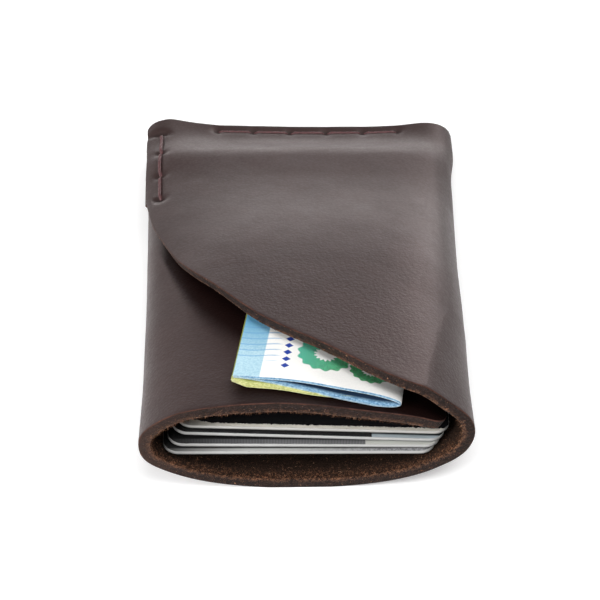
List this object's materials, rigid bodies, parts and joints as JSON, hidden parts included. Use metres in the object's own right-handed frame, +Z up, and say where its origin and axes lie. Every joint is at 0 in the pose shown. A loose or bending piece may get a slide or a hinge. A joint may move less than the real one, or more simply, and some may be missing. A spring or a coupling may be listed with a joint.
{
  "type": "slim wrap wallet",
  "caption": "Slim wallet folded from one strip of thick dark brown leather, sewn at the rear, holding loose cards and folded notes.",
  "frame": {"origin": "under the middle of the bounding box, on the surface that the wallet lies on", "axes": "+X across the wallet to the fold that the flap starts from, +Y from the open mouth to the sewn rear, +Z up through the flap"},
  "size_m": [0.0702, 0.1062, 0.0285],
  "materials": {
    "brown_leather": "thick smooth vegetable-tanned leather, satin grain side, fuzzy flesh side, raw cut edges",
    "waxed_thread": "waxed reddish brown sewing thread",
    "card_1_plastic": "laminated light grey card",
    "card_2_plastic": "laminated grey card with a pale end",
    "card_3_plastic": "laminated dark card with a pale end",
    "card_4_plastic": "laminated cream card",
    "yellow_green_paper": "matt yellow-green printed paper",
    "blue_white_paper": "matt blue and white printed paper"
  },
  "bodies": {
    "wallet": {"leather_body": "brown_leather", "rear_seam_thread": "waxed_thread", "side_seam_thread": "waxed_thread"},
    "card_1_body": {"card_1": "card_1_plastic"},
    "card_2_body": {"card_2": "card_2_plastic"},
    "card_3_body": {"card_3": "card_3_plastic"},
    "card_4_body": {"card_4": "card_4_plastic"},
    "note_1_body": {"banknote_1": "blue_white_paper"},
    "note_2_body": {"banknote_2": "yellow_green_paper"}
  },
  "joints": [
    {"name": "card_1_slide", "type": "slide", "parent": "wallet", "child": "card_1_body", "axis": [0.0009, -0.9989, 0.046], "range_m": [0, 0.095]},
    {"name": "card_2_slide", "type": "slide", "parent": "wallet", "child": "card_2_body", "axis": [0, -0.9989, 0.0465], "range_m": [0, 0.095]},
    {"name": "card_3_slide", "type": "slide", "parent": "wallet", "child": "card_3_body", "axis": [-0.0035, -0.9987, 0.05], "range_m": [0, 0.095]},
    {"name": "card_4_slide", "type": "slide", "parent": "wallet", "child": "card_4_body", "axis": [-0.0044, -0.9987, 0.0516], "range_m": [0, 0.095]},
    {"name": "note_1_slide", "type": "slide", "parent": "wallet", "child": "note_1_body", "axis": [-0.03, -0.9921, 0.1215], "range_m": [0, 0.048]},
    {"name": "note_2_slide", "type": "slide", "parent": "wallet", "child": "note_2_body", "axis": [-0.03, -0.9921, 0.1215], "range_m": [0, 0.048]}
  ]
}
